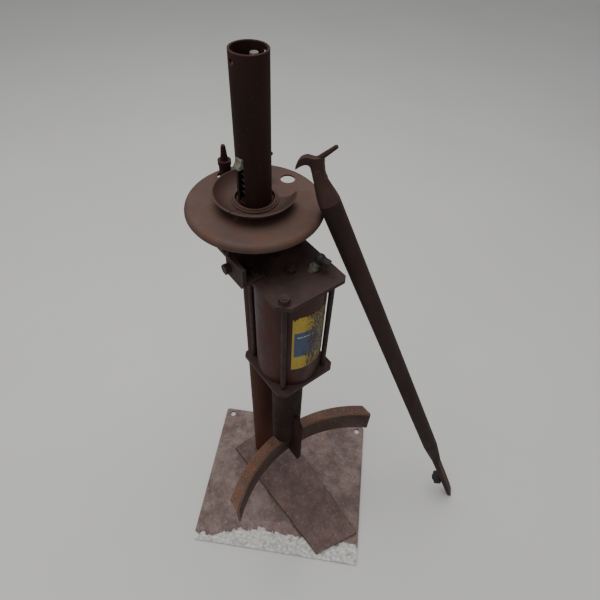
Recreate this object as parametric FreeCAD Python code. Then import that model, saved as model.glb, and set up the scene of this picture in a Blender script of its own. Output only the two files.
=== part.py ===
"""Air-operated tyre changer stand with a loose tyre bar.  Millimetres.

Frame: origin at the middle of the base plate's underside, +Z up, X and Y along the plate's edges.
Machine frame: x runs from the post towards the ram, y to its left, z up, origin on the post's axis.
"""
import FreeCAD
import Part
import math
import os

V = FreeCAD.Vector
Z = V(0, 0, 1)

# ---- driving dimensions -------------------------------------------------------------------------
PLATE_X = 420.0
PLATE_Y = 374.0
PLATE_T = 6.35
PLATE_HOLE_R = 8.0
PLATE_HOLE_X = 190.0
PLATE_HOLE_Y = 172.0

POST_X = -72.0
POST_Y = 83.0
MACHINE_TURN = -45.0

CHANNEL_TOP = 18.0
CHANNEL_T = 4.0
CHANNEL_BACK = -44.0
CHANNEL_FRONT = 312.0
CHANNEL_HALF_BACK = 75.0
CHANNEL_HALF_FRONT = 58.0
CHANNEL_SKEW = 23.0

POST_R = 28.575
POST_WALL = 3.05
POST_TOP = 884.0
TUBE_R = 25.4
TUBE_WALL = 3.0
TUBE_BOTTOM = 700.0
TUBE_TOP = 1097.0
PLUG_TOP = 1074.0

CYL_X = 95.0
BARREL_R = 58.5
BORE_R = 55.0
GASKET_T = 1.0
GLAND_TOP = 571.5
HEAD_TOP = 808.0
END_T = 8.0
END_HALF = 62.0
HEAD_BACK = -50.0
ROD_OFF = 46.0
ROD_R = 4.76

RAM_R = 31.75
RAM_BORE = 26.75
PISTON_BOTTOM = 760.0
PISTON_TOP = 784.0
PISTON_R = 54.6
SPRING_PASS_R = 21.0

SHOE_TOP = 272.0
RAM_BOTTOM = SHOE_TOP
SHOE_BOTTOM = 205.0
SHOE_CENTRE = 395.0
SHOE_R = 282.0
SHOE_T = 5.0
SHOE_FLANGE = 26.0
SHOE_SPREAD = 42.5

TABLE_TOP = 880.0
TABLE_T = 3.2
TABLE_R = 107.0
TABLE_BORE = 28.8
LIP_R = 9.0
LIP_BOTTOM = 868.0
PIN_HOLE_R = 11.8
HOLE_X = -19.7
HOLE_Y = 75.5
PIN_X = -86.0

DISH_R = 65.0
DISH_LIFT = 20.0
DISH_BORE = 30.5
DISH_RING_R = 36.5
DISH_T = 3.0
REST_GAP = 0.3

SLOT_TURN = -80.0
SLOT_W = 12.6
SLOT_TOP = 962.5
SLOT_BOTTOM = 890.0
KEY_BOTTOM = 948.0
KEY_W = 12.0

BAR_R = 16.7
BAR_FOOT = V(456.5, 34.5, 5.0)
BAR_AZIMUTH = 174.9
BAR_LEAN = 24.97
BAR_END = 265.0
BAR_LENGTH = 990.0
BAR_TIP = -3.2
HOOK_T = 9.0


# ---- helpers ------------------------------------------------------------------------------------
def cyl(r, z0, z1, x=0.0, y=0.0):
    return Part.makeCylinder(r, z1 - z0, V(x, y, z0))


def ring(r_out, r_in, z0, z1, x=0.0, y=0.0):
    return cyl(r_out, z0, z1, x, y).cut(cyl(r_in, z0 - 1, z1 + 1, x, y))


def box(x0, x1, y0, y1, z0, z1):
    return Part.makeBox(x1 - x0, y1 - y0, z1 - z0, V(x0, y0, z0))


def prism(points, z0, z1):
    wire = Part.makePolygon([V(x, y, z0) for x, y in points] + [V(points[0][0], points[0][1], z0)])
    return Part.Face(wire).extrude(V(0, 0, z1 - z0))


def side_prism(points, y0, y1):
    wire = Part.makePolygon([V(x, y0, z) for x, z in points] + [V(points[0][0], y0, points[0][1])])
    return Part.Face(wire).extrude(V(0, y1 - y0, 0))


def turned(points):
    wire = Part.makePolygon([V(r, 0, z) for r, z in points] + [V(points[0][0], 0, points[0][1])])
    return Part.Face(wire).revolve(V(0, 0, 0), Z, 360)


def group(shapes):
    return Part.makeCompound(shapes)


def spun(shape, degrees, centre=V(0, 0, 0)):
    copy = shape.copy()
    copy.rotate(centre, Z, degrees)
    return copy


def moved(shape, x, y, z):
    copy = shape.copy()
    copy.translate(V(x, y, z))
    return copy


def hex_prism(across, z0, z1, x=0.0, y=0.0, turn=0.0):
    radius = across / math.sqrt(3)
    angles = [math.radians(60 * i + turn) for i in range(6)]
    body = prism([(x + radius * math.cos(a), y + radius * math.sin(a)) for a in angles], z0, z1)
    crown = moved(Part.makeCone(radius + 1.2, radius - 1.0, z1 - z0), x, y, z0)
    return body.common(crown)


def coil(radius, wire_r, z0, z1, turns):
    pitch = (z1 - z0 - 2 * wire_r) / turns
    helix = Part.makeLongHelix(pitch, pitch * turns, radius)
    profile = Part.Wire([Part.makeCircle(wire_r, V(radius, 0, 0), V(0, 1, 0))])
    body = Part.Wire(helix).makePipeShell([profile], True, True)
    return moved(body, 0, 0, z0 + wire_r)


def machine(shape):
    copy = shape.copy()
    copy.rotate(V(0, 0, 0), Z, MACHINE_TURN)
    copy.translate(V(POST_X, POST_Y, 0))
    return copy


def bar_placed(shape):
    copy = shape.copy()
    copy.rotate(V(0, 0, 0), V(0, 1, 0), BAR_LEAN)
    copy.rotate(V(0, 0, 0), Z, BAR_AZIMUTH)
    copy.translate(BAR_FOOT)
    return copy


def save(name, shape):
    shape.exportStep("parts/" + name + ".step")


# ---- base ---------------------------------------------------------------------------------------
def base_plate():
    plate = box(-PLATE_X / 2, PLATE_X / 2, -PLATE_Y / 2, PLATE_Y / 2, 0, PLATE_T)
    upright = [edge for edge in plate.Edges if abs(edge.tangentAt(edge.FirstParameter).z) > 0.9]
    plate = plate.makeFillet(5.0, upright)
    for x in (-PLATE_HOLE_X, PLATE_HOLE_X):
        for y in (-PLATE_HOLE_Y, PLATE_HOLE_Y):
            plate = plate.cut(cyl(PLATE_HOLE_R, -1, PLATE_T + 1, x, y))
    return plate


def channel_outline(inset):
    slope = (CHANNEL_HALF_BACK - CHANNEL_HALF_FRONT) / (CHANNEL_FRONT - CHANNEL_BACK)
    reach = 5.0 if inset else 0.0
    back = CHANNEL_HALF_BACK - inset + slope * reach
    front = CHANNEL_HALF_FRONT - inset - slope * reach
    x0 = CHANNEL_BACK - reach
    x1 = CHANNEL_FRONT + reach
    return [(x0, -back), (x1, -front), (x1 + CHANNEL_SKEW, front - slope * CHANNEL_SKEW), (x0, back)]


def rest_channel():
    shell = prism(channel_outline(0.0), PLATE_T, CHANNEL_TOP)
    length_edges = [e for e in shell.Edges if e.BoundBox.ZMin > CHANNEL_TOP - 0.1 and e.Length > 300]
    shell = shell.makeFillet(3.5, length_edges)
    shell = shell.cut(prism(channel_outline(CHANNEL_T), PLATE_T - 1, CHANNEL_TOP - CHANNEL_T))
    return shell.cut(cyl(POST_R + 0.1, 0, CHANNEL_TOP + 1))


def bead(length, size):
    return Part.Face(Part.makePolygon([V(0, 0, 0), V(size, 0, 0), V(size * 0.62, 0, size * 0.62),
                                       V(0, 0, size), V(0, 0, 0)])).extrude(V(0, length, 0))


def channel_welds():
    slope = math.degrees(math.atan2(CHANNEL_HALF_BACK - CHANNEL_HALF_FRONT, CHANNEL_FRONT - CHANNEL_BACK))
    beads = []
    for start in (10.0, 110.0, 210.0):
        fraction = (start - CHANNEL_BACK) / (CHANNEL_FRONT - CHANNEL_BACK)
        half = CHANNEL_HALF_BACK + (CHANNEL_HALF_FRONT - CHANNEL_HALF_BACK) * fraction
        left = bead(45.0, 4.5)
        left.rotate(V(0, 0, 0), Z, 90 + 180)
        left.rotate(V(0, 0, 0), Z, slope)
        left = moved(left, start, -half, PLATE_T)
        beads.append(left)
    mirrored = [b.mirror(V(0, 0, 0), V(0, 1, 0)) for b in beads]
    return group(beads + mirrored)


def weld_ring(radius, size, z, up=1.0):
    return turned([(radius, z), (radius + size, z), (radius + size * 0.62, z + up * size * 0.62),
                   (radius, z + up * size)])


# ---- post ---------------------------------------------------------------------------------------
def cross_bore(radius, z, turn, length=120.0):
    bore = Part.makeCylinder(radius, length, V(-length / 2, 0, z), V(1, 0, 0))
    return spun(bore, turn)


CROSS_PIN_Z = 838.0
CROSS_PIN_TURN = 45.0
TOP_HOLE_Z = 1086.0


def post_lower():
    tube = ring(POST_R, POST_R - POST_WALL, PLATE_T, POST_TOP)
    return tube.cut(cross_bore(5.1, CROSS_PIN_Z, CROSS_PIN_TURN))


def post_slot():
    slot = box(0, 40, -SLOT_W / 2, SLOT_W / 2, SLOT_BOTTOM, SLOT_TOP + 0.5)
    return spun(slot, SLOT_TURN)


def post_upper():
    tube = ring(TUBE_R, TUBE_R - TUBE_WALL, TUBE_BOTTOM, TUBE_TOP)
    rim = [e for e in tube.Edges if e.BoundBox.ZMin > TUBE_TOP - 0.1]
    tube = tube.makeFillet(0.8, rim)
    tube = tube.cut(cross_bore(5.1, CROSS_PIN_Z, CROSS_PIN_TURN))
    tube = tube.cut(cross_bore(4.2, TOP_HOLE_Z, 90.0, 80.0))
    return tube.cut(post_slot())


def post_cross_pin():
    shaft = Part.makeCylinder(5.0, 84.0, V(-42, 0, CROSS_PIN_Z), V(1, 0, 0))
    heads = [hex_prism(16.0, 0, 6.0), hex_prism(16.0, 0, 7.0)]
    for shape, side in zip(heads, (-1, 1)):
        shape.rotate(V(0, 0, 0), V(0, 1, 0), 90.0 * side)
        shape.translate(V(side * 38.2, 0, CROSS_PIN_Z))
        shaft = shaft.fuse(shape)
    return spun(shaft, CROSS_PIN_TURN)


def post_plug():
    floor_r = TUBE_R - TUBE_WALL - 0.1
    plug = turned([(0, PLUG_TOP - 12), (floor_r, PLUG_TOP - 12), (floor_r, PLUG_TOP + 3),
                   (floor_r - 4, PLUG_TOP), (0, PLUG_TOP - 1.5)])
    return plug.cut(cyl(4.05, PLUG_TOP - 14, PLUG_TOP + 9, -5.5, 11.0))


def post_stud():
    stud = cyl(4.0, PLUG_TOP - 20, PLUG_TOP + 10, -5.5, 11.0)
    return stud.fuse(hex_prism(10.5, PLUG_TOP + 9, PLUG_TOP + 14, -5.5, 11.0, 12))


def post_rivet():
    head = Part.makeCone(2.8, 1.6, 2.0, V(TUBE_R - 0.05, 0, 959), V(1, 0, 0))
    return spun(head.cut(cyl(TUBE_R, 950, 970)), 58.0)


# ---- cylinder -----------------------------------------------------------------------------------
def corner_cut(x0, x1, half, legs, z0, z1):
    left, front, right, back = legs
    return prism([(x0 + left, -half), (x1 - front, -half), (x1, -half + front), (x1, half - right),
                  (x1 - right, half), (x0 + back, half), (x0, half - back), (x0, -half + left)], z0, z1)


def rod_spots():
    return [(CYL_X + sx * ROD_OFF, sy * ROD_OFF) for sx in (-1, 1) for sy in (-1, 1)]


def drilled(plate, radius):
    for x, y in rod_spots():
        plate = plate.cut(cyl(radius, plate.BoundBox.ZMin - 1, plate.BoundBox.ZMax + 1, x, y))
    return plate


ANCHOR_X = CYL_X
AIR_X = 112.0
AIR_Y = 27.0
AIR_PORT_R = 4.35
AIR_PORT_DEPTH = 9.0


def head_plate():
    bottom = HEAD_TOP - END_T
    plate = corner_cut(HEAD_BACK, CYL_X + END_HALF, END_HALF, (26.0, 17.0, 6.0, 26.0), bottom, HEAD_TOP)
    plate = drilled(plate, ROD_R + 0.15)
    plate = plate.cut(cyl(POST_R + 0.1, bottom - 1, HEAD_TOP + 1))
    plate = plate.cut(cyl(5.05, bottom - 1, HEAD_TOP + 1, ANCHOR_X, 0))
    return plate.cut(air_axis(6.05, -30, 30))


def gland_plate():
    bottom = GLAND_TOP - END_T
    plate = corner_cut(CYL_X - END_HALF, CYL_X + END_HALF, END_HALF, (6.5, 12.0, 8.5, 10.0), bottom,
                       GLAND_TOP)
    plate = drilled(plate, ROD_R + 0.15)
    return plate.cut(cyl(38.0, bottom - 1, GLAND_TOP + 1, CYL_X, 0))


def gland_bush():
    profile = turned([(RAM_R + 0.08, GLAND_TOP - END_T - 4), (37.9, GLAND_TOP - END_T - 4),
                      (37.9, GLAND_TOP), (43.0, GLAND_TOP), (43.0, GLAND_TOP + 6), (RAM_R + 3, GLAND_TOP + 6),
                      (RAM_R + 3, GLAND_TOP), (RAM_R + 0.08, GLAND_TOP)])
    return moved(profile, CYL_X, 0, 0)


def rod_seal():
    profile = turned([(RAM_R + 0.05, GLAND_TOP + 0.1), (RAM_R + 2.9, GLAND_TOP + 0.1),
                      (RAM_R + 2.9, GLAND_TOP + 5.5), (RAM_R + 0.9, GLAND_TOP + 5.5), (RAM_R + 0.05, GLAND_TOP + 4)])
    return moved(profile, CYL_X, 0, 0)


def barrel():
    return ring(BARREL_R, BORE_R, GLAND_TOP + GASKET_T, HEAD_TOP - END_T - GASKET_T, CYL_X, 0)


def barrel_gaskets():
    low = ring(BARREL_R + 0.8, BORE_R, GLAND_TOP, GLAND_TOP + GASKET_T, CYL_X, 0)
    high_z = HEAD_TOP - END_T
    high = ring(BARREL_R + 0.8, BORE_R, high_z - GASKET_T, high_z, CYL_X, 0)
    return group([low, high])


def tie_rods():
    return group([cyl(ROD_R, GLAND_TOP - END_T - 14, HEAD_TOP + 1 + 10 * (x > CYL_X and y < 0) + 9 * (x < CYL_X),
                      x, y) for x, y in rod_spots()])


def nut(z0, x, y, turn, bore=ROD_R + 0.02):
    return hex_prism(15.0, z0, z0 + 8.0, x, y, turn).cut(cyl(bore, z0 - 1, z0 + 9, x, y))


def tie_nuts_lower():
    z0 = GLAND_TOP - END_T - 9.6
    return group([nut(z0, x, y, 11 + 20 * i) for i, (x, y) in enumerate(rod_spots())])


def upper_spots():
    return [(x, y) for x, y in rod_spots() if x < CYL_X or y < 0]


def tie_nuts_upper():
    return group([nut(HEAD_TOP + 1.6, x, y, 7 + 25 * i) for i, (x, y) in enumerate(upper_spots())])


def tie_washers():
    low = GLAND_TOP - END_T
    lower = [ring(9.2, ROD_R + 0.3, low - 1.6, low, x, y) for x, y in rod_spots()]
    upper = [ring(9.2, ROD_R + 0.3, HEAD_TOP, HEAD_TOP + 1.6, x, y) for x, y in upper_spots()]
    return group(lower + upper)


def spring_anchor():
    shaft = cyl(5.0, 776, HEAD_TOP + 13, ANCHOR_X, 0)
    disc = cyl(15.0, 776, 780, ANCHOR_X, 0)
    return shaft.fuse(disc)


def anchor_nut():
    return nut(HEAD_TOP, ANCHOR_X, 0, 20, 5.02)


def return_spring():
    body = coil(15.5, 2.2, RAM_BOTTOM + 25.5, 775.8, 55)
    return moved(body, CYL_X, 0, 0)


def air_axis(radius, z0, z1):
    stem = cyl(radius, z0, z1)
    stem.rotate(V(0, 0, 0), V(0, 1, 0), 26.0)
    stem.rotate(V(0, 0, 0), Z, 58.0)
    return moved(stem, AIR_X, AIR_Y, HEAD_TOP)


def air_nipple():
    stem = air_axis(6.0, -9.5, 19.0).cut(air_axis(3.2, -12, 21))
    collar = air_axis(7.6, 4.5, 8.5).cut(air_axis(3.2, -12, 21))
    return stem.fuse(collar).cut(box(0, 300, -150, 150, 700, HEAD_TOP - END_T + 0.5))


def air_elbow():
    body = Part.makeSphere(8.2, V(0, 0, 26.5))
    body = body.fuse(cyl(7.6, 19.0, 26.5))
    arm = Part.makeCylinder(6.8, 13.0, V(0, 0, 26.5), V(1, 0, 0))
    head = hex_prism(15.0, 0, 6.0)
    head.rotate(V(0, 0, 0), V(0, 1, 0), 90)
    head.translate(V(10.0, 0, 26.5))
    body = body.fuse(arm).fuse(head)
    bore = cyl(3.2, 15.0, 26.5).fuse(Part.makeCylinder(3.2, 20.0, V(0, 0, 26.5), V(1, 0, 0)))
    bore = bore.fuse(Part.makeCylinder(AIR_PORT_R, 20.0, V(16.0 - AIR_PORT_DEPTH, 0, 26.5), V(1, 0, 0)))
    body = body.cut(bore)
    body.rotate(V(0, 0, 0), Z, -35.0)
    body.rotate(V(0, 0, 0), V(0, 1, 0), 26.0)
    body.rotate(V(0, 0, 0), Z, 58.0)
    return moved(body, AIR_X, AIR_Y, HEAD_TOP)


LUG_Y = -79.0


def side_lug():
    foot = box(38, 84, LUG_Y, -40, HEAD_TOP, HEAD_TOP + 5)
    wall = side_prism([(38, HEAD_TOP - 7), (78, HEAD_TOP - 7), (84, HEAD_TOP), (84, HEAD_TOP + 34),
                       (38, HEAD_TOP + 34)], LUG_Y, LUG_Y + 6)
    plate = foot.fuse(wall)
    for x, y in rod_spots():
        plate = plate.cut(cyl(10.5, HEAD_TOP - 1, HEAD_TOP + 36, x, y))
    plate = plate.cut(cyl(4.1, HEAD_TOP - 1, HEAD_TOP + 6, 74, -52))
    return plate.cut(Part.makeCylinder(4.1, 20, V(46, LUG_Y - 5, HEAD_TOP + 12), V(0, 1, 0)))


def side_lug_bolts():
    across = cyl(4.0, -1, 12).fuse(hex_prism(15.0, -10.0, -1.0))
    across.rotate(V(0, 0, 0), V(1, 0, 0), -90)
    across = moved(across, 46, LUG_Y + 1, HEAD_TOP + 12)
    across_nut = hex_prism(13.0, 0, 6.0)
    across_nut.rotate(V(0, 0, 0), V(1, 0, 0), -90)
    across_nut = moved(across_nut, 46, LUG_Y + 6, HEAD_TOP + 12)
    down = cyl(4.0, HEAD_TOP, HEAD_TOP + 5, 74, -52).fuse(hex_prism(13.0, HEAD_TOP + 5, HEAD_TOP + 10.5, 74, -52, 9))
    return group([across.fuse(across_nut), down])


def side_lug_stud():
    return cyl(3.2, HEAD_TOP + 34, HEAD_TOP + 42, 42, LUG_Y + 3)


# ---- table --------------------------------------------------------------------------------------
def table_hub():
    hub = ring(38.0, POST_R + 0.1, HEAD_TOP, TABLE_TOP - TABLE_T)
    return hub.cut(cross_bore(5.1, CROSS_PIN_Z, CROSS_PIN_TURN))


def table_spacers():
    legs = []
    for angle in (0, 90, 180, 270):
        x = 50.0 * math.cos(math.radians(angle))
        y = 50.0 * math.sin(math.radians(angle))
        legs.append(cyl(7.5, HEAD_TOP, TABLE_TOP - TABLE_T, x * 0.92 if angle == 180 else x, y))
    return group(legs)


def lip_profile():
    flat = TABLE_R - LIP_R
    axis_z = TABLE_TOP - LIP_R
    inner = LIP_R - TABLE_T
    outer_mid = V(flat + LIP_R * math.sin(math.pi / 4), 0, axis_z + LIP_R * math.cos(math.pi / 4))
    inner_mid = V(flat + inner * math.sin(math.pi / 4), 0, axis_z + inner * math.cos(math.pi / 4))
    edges = [Part.makeLine(V(TABLE_BORE, 0, TABLE_TOP), V(flat, 0, TABLE_TOP)),
             Part.Arc(V(flat, 0, TABLE_TOP), outer_mid, V(TABLE_R, 0, axis_z)).toShape(),
             Part.makeLine(V(TABLE_R, 0, axis_z), V(TABLE_R - 1.5, 0, LIP_BOTTOM)),
             Part.makeLine(V(TABLE_R - 1.5, 0, LIP_BOTTOM), V(TABLE_R - TABLE_T, 0, LIP_BOTTOM)),
             Part.makeLine(V(TABLE_R - TABLE_T, 0, LIP_BOTTOM), V(TABLE_R - TABLE_T, 0, axis_z)),
             Part.Arc(V(TABLE_R - TABLE_T, 0, axis_z), inner_mid, V(flat, 0, TABLE_TOP - TABLE_T)).toShape(),
             Part.makeLine(V(flat, 0, TABLE_TOP - TABLE_T), V(TABLE_BORE, 0, TABLE_TOP - TABLE_T)),
             Part.makeLine(V(TABLE_BORE, 0, TABLE_TOP - TABLE_T), V(TABLE_BORE, 0, TABLE_TOP))]
    return Part.Face(Part.Wire(edges))


PIN_HOLE_X = PIN_X + 1.4
PIN_HOLE_Y = -2.9


def table():
    disc = lip_profile().revolve(V(0, 0, 0), Z, 360)
    disc = disc.cut(cyl(PIN_HOLE_R, TABLE_TOP - 20, TABLE_TOP + 5, HOLE_X, HOLE_Y))
    return disc.cut(cyl(PIN_HOLE_R, TABLE_TOP - 20, TABLE_TOP + 5, PIN_HOLE_X, PIN_HOLE_Y))


def pin_socket():
    block = box(PIN_X - 9.5, PIN_X + 26.0, -5.5, 15.0, TABLE_TOP - 27, TABLE_TOP - TABLE_T)
    return block.cut(cyl(6.06, TABLE_TOP - 30, TABLE_TOP, PIN_X, 0)).cut(
        cyl(40.0, TABLE_TOP - 30, TABLE_TOP, 0, 0))


def locating_pin():
    seat = TABLE_TOP - TABLE_T + REST_GAP
    body = turned([(0, seat - 34), (4.5, seat - 34), (6.0, seat - 31), (6.0, seat), (8.2, seat), (8.2, 881),
                   (9.4, 882.5), (9.4, 899), (8.9, 899), (8.9, 903), (0, 903)])
    taper = turned([(0, 903), (6.4, 903), (3.9, 928), (3.0, 931), (0, 931)])
    return moved(body.fuse(taper), PIN_X, 0, 0)


def pin_collar():
    return moved(ring(10.6, 6.5, 903, 906).fuse(ring(10.6, 8.9, 899, 903)), PIN_X, 0, 0)


# ---- dish ---------------------------------------------------------------------------------------
def dish_face():
    z0 = TABLE_TOP + REST_GAP
    r0 = DISH_RING_R
    rise = DISH_LIFT
    under = [V(r0, 0, z0), V(r0 + 11, 0, z0 + 2.2), V(r0 + 21, 0, z0 + 9.0), V(DISH_R - 1.0, 0, z0 + rise - 1.2)]
    upper = [V(DISH_R - 3.6, 0, z0 + rise), V(r0 + 18.6, 0, z0 + 11.2), V(r0 + 9.6, 0, z0 + 4.9),
             V(r0, 0, z0 + DISH_T)]
    low = Part.BSplineCurve()
    low.interpolate(under)
    high = Part.BSplineCurve()
    high.interpolate(upper)
    rim = Part.makeLine(under[-1], upper[0])
    heel = Part.makeLine(upper[-1], under[0])
    return Part.Face(Part.Wire([low.toShape(), rim, high.toShape(), heel]))


def dish():
    bowl = dish_face().revolve(V(0, 0, 0), Z, 360)
    notch = spun(box(4, 90, 19.2, 90, TABLE_TOP - 5, TABLE_TOP + 60), 35.0)
    slit = spun(box(DISH_RING_R + 4, 90, -0.9, 0.9, TABLE_TOP - 5, TABLE_TOP + 60), -67.0)
    return bowl.cut(notch).cut(slit)


def dish_collar():
    z0 = TABLE_TOP + REST_GAP
    return turned([(DISH_BORE, z0), (DISH_RING_R, z0), (DISH_RING_R, z0 + 5.0), (DISH_RING_R - 1.0, z0 + 6.0),
                   (DISH_RING_R - 2.6, z0 + 6.0), (DISH_RING_R - 2.6, z0 + 4.0), (DISH_BORE, z0 + 4.0)])


def dish_sleeve():
    z0 = TABLE_TOP + REST_GAP + 4.0
    return turned([(DISH_BORE, z0), (DISH_RING_R - 3.0, z0), (DISH_RING_R - 3.4, z0 + 3.2), (DISH_BORE, z0 + 3.6)])


# ---- latch --------------------------------------------------------------------------------------
def latch_key():
    key = side_prism([(14, KEY_BOTTOM), (32.5, KEY_BOTTOM), (32.5, KEY_BOTTOM + 4), (28.6, KEY_BOTTOM + 9),
                      (28.2, SLOT_TOP - 1), (27, SLOT_TOP), (14, SLOT_TOP)], -KEY_W / 2, KEY_W / 2)
    return spun(key, SLOT_TURN)


def latch_carrier():
    body = cyl(TUBE_R - TUBE_WALL - 0.3, KEY_BOTTOM, SLOT_TOP)
    body = body.cut(cyl(9.0, KEY_BOTTOM - 1, SLOT_TOP + 1))
    seat = spun(box(13.9, 40, -KEY_W / 2 - 0.02, KEY_W / 2 + 0.02, KEY_BOTTOM - 1, SLOT_TOP + 1), SLOT_TURN)
    return body.cut(seat)


def latch_spring():
    return coil(18.4, 1.9, 894.2, KEY_BOTTOM - 0.1, 5)


def spring_seat():
    seat = ring(TUBE_R - TUBE_WALL - 0.05, 8.0, 886, 894)
    return seat


# ---- ram and shoes ------------------------------------------------------------------------------
def ram_tube():
    return ring(RAM_R, RAM_BORE, RAM_BOTTOM, PISTON_BOTTOM, CYL_X, 0)


def piston():
    body = turned([(SPRING_PASS_R, PISTON_BOTTOM - 18), (RAM_BORE - 0.05, PISTON_BOTTOM - 18),
                   (RAM_BORE - 0.05, PISTON_BOTTOM), (PISTON_R, PISTON_BOTTOM), (PISTON_R, PISTON_BOTTOM + 8),
                   (PISTON_R - 6, PISTON_BOTTOM + 8), (PISTON_R - 6, PISTON_BOTTOM + 17),
                   (SPRING_PASS_R, PISTON_BOTTOM + 17)])
    return moved(body, CYL_X, 0, 0)


def piston_seal():
    body = turned([(PISTON_R - 5.9, PISTON_BOTTOM + 8.1), (PISTON_R - 0.4, PISTON_BOTTOM + 8.1),
                   (BORE_R - 0.04, PISTON_BOTTOM + 11), (BORE_R - 0.04, PISTON_BOTTOM + 14),
                   (PISTON_R - 0.4, PISTON_BOTTOM + 16.9), (PISTON_R - 5.9, PISTON_BOTTOM + 16.9)])
    return moved(body, CYL_X, 0, 0)


def screw_spots(count, radius):
    return [(CYL_X + radius * math.cos(2 * math.pi * i / count), radius * math.sin(2 * math.pi * i / count))
            for i in range(count)]


def piston_plate():
    plate = ring(PISTON_R - 0.6, SPRING_PASS_R, PISTON_BOTTOM + 17, PISTON_TOP, CYL_X, 0)
    for x, y in screw_spots(4, 36.0):
        plate = plate.cut(cyl(3.1, PISTON_BOTTOM, PISTON_TOP + 1, x, y))
    return plate


def piston_screws():
    return group([cyl(3.0, PISTON_BOTTOM + 17, PISTON_TOP, x, y).fuse(
        hex_prism(10.0, PISTON_TOP, PISTON_TOP + 4, x, y)) for x, y in screw_spots(4, 36.0)])


def ram_foot():
    disc = cyl(RAM_BORE - 0.05, RAM_BOTTOM, RAM_BOTTOM + 14, CYL_X, 0)
    boss = cyl(13.0, RAM_BOTTOM + 14, RAM_BOTTOM + 25, CYL_X, 0)
    return disc.fuse(boss)


def arc_sector(r_in, r_out, z0, z1, spread):
    sweep = 2 * spread
    body = Part.makeCylinder(r_out, z1 - z0, V(0, 0, z0), Z, sweep)
    body = body.cut(Part.makeCylinder(r_in, z1 - z0 + 2, V(0, 0, z0 - 1)))
    body.rotate(V(0, 0, 0), Z, 180 - spread)
    return moved(body, SHOE_CENTRE, 0, 0)


def shoe_webs():
    return arc_sector(SHOE_R, SHOE_R + SHOE_T, SHOE_BOTTOM, SHOE_TOP, SHOE_SPREAD)


def shoe_flanges():
    web_r = SHOE_R + SHOE_T
    body = arc_sector(web_r, SHOE_R + SHOE_FLANGE, SHOE_TOP - SHOE_T, SHOE_TOP, SHOE_SPREAD)
    for side in (-1, 1):
        end = math.radians(180 - side * SHOE_SPREAD)
        tip = V(SHOE_CENTRE + web_r * math.cos(end), web_r * math.sin(end), SHOE_TOP - 10)
        cutter = Part.makeBox(80, 80, 20, V(0, -40, 0))
        cutter.rotate(V(0, 0, 0), Z, 180 - side * (SHOE_SPREAD + 45))
        cutter.translate(tip)
        body = body.cut(cutter)
    return body


def shoe_gusset():
    face = CYL_X + RAM_R
    web = SHOE_CENTRE - SHOE_R
    fin = side_prism([(web - 2, SHOE_BOTTOM), (face + 20, SHOE_BOTTOM), (face + 23, SHOE_BOTTOM + 10),
                      (face + 23, 368), (face + 6, 392), (face - 2, 392), (face - 2, SHOE_TOP),
                      (web - 2, SHOE_TOP)], -4.0, 4.0)
    fin = fin.cut(cyl(RAM_R, SHOE_TOP - 1, 400, CYL_X, 0))
    return fin.cut(arc_sector(SHOE_R, SHOE_R + SHOE_FLANGE, SHOE_BOTTOM - 1, SHOE_TOP, 12))


def shoe_welds():
    low = moved(weld_ring(RAM_R, 5.0, SHOE_TOP), CYL_X, 0, 0)
    keep = arc_sector(SHOE_R, SHOE_R + SHOE_FLANGE, SHOE_TOP, SHOE_TOP + 6, 12)
    low = low.common(keep)
    fin = box(CYL_X + RAM_R - 5, CYL_X + RAM_R + 40, -4.0, 4.0, SHOE_TOP - 5, SHOE_TOP + 10)
    return group(low.cut(fin).Solids)


# ---- tyre bar -----------------------------------------------------------------------------------
def bar_tube():
    return ring(BAR_R, BAR_R - 3.4, BAR_END, BAR_LENGTH)


def rect_wire(half_x, half_y, z, x=0.0):
    return Part.makePolygon([V(x - half_x, -half_y, z), V(x + half_x, -half_y, z), V(x + half_x, half_y, z),
                             V(x - half_x, half_y, z), V(x - half_x, -half_y, z)])


def bar_shank():
    spigot = cyl(BAR_R - 3.5, BAR_END - 1, BAR_END + 26)
    collar = Part.Wire([Part.makeCircle(BAR_R, V(0, 0, BAR_END), Z)])
    mid = Part.Wire([Part.makeCircle(BAR_R - 2.4, V(0, 0, BAR_END - 34), Z)])
    neck = Part.Wire([Part.makeCircle(11.0, V(0, 0, BAR_END - 72), Z)])
    taper = Part.makeLoft([collar, mid, neck], True)
    tongue = Part.makeLoft([rect_wire(4.0, 11.5, BAR_TIP), rect_wire(5.5, 12.5, 60), rect_wire(6.5, 11.0, 150),
                            rect_wire(8.0, 9.0, BAR_END - 60)], True)
    return spigot.fuse(taper).fuse(tongue).cut(roller_bore())


ROLLER_S = 86.0


def roller_bore():
    return Part.makeCylinder(4.05, 80, V(-40, 0, ROLLER_S), V(1, 0, 0))


def roller_pin():
    shaft = Part.makeCylinder(4.0, 33, V(-6, 0, ROLLER_S), V(1, 0, 0))
    cap = Part.makeCylinder(7.0, 3.0, V(26.5, 0, ROLLER_S), V(1, 0, 0))
    return shaft.fuse(cap)


def bar_roller():
    wheel = Part.makeCylinder(16.5, 17.0, V(8.6, 0, ROLLER_S), V(1, 0, 0))
    rims = [e for e in wheel.Edges if abs(e.BoundBox.XMax - e.BoundBox.XMin) < 0.01 and e.Length > 90]
    wheel = wheel.makeFillet(3.0, rims)
    return wheel.cut(Part.makeCylinder(4.1, 40, V(0, 0, ROLLER_S), V(1, 0, 0)))


def smooth(points):
    curve = Part.BSplineCurve()
    curve.interpolate([V(x, 0, z) for x, z in points])
    return curve.toShape()


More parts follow.
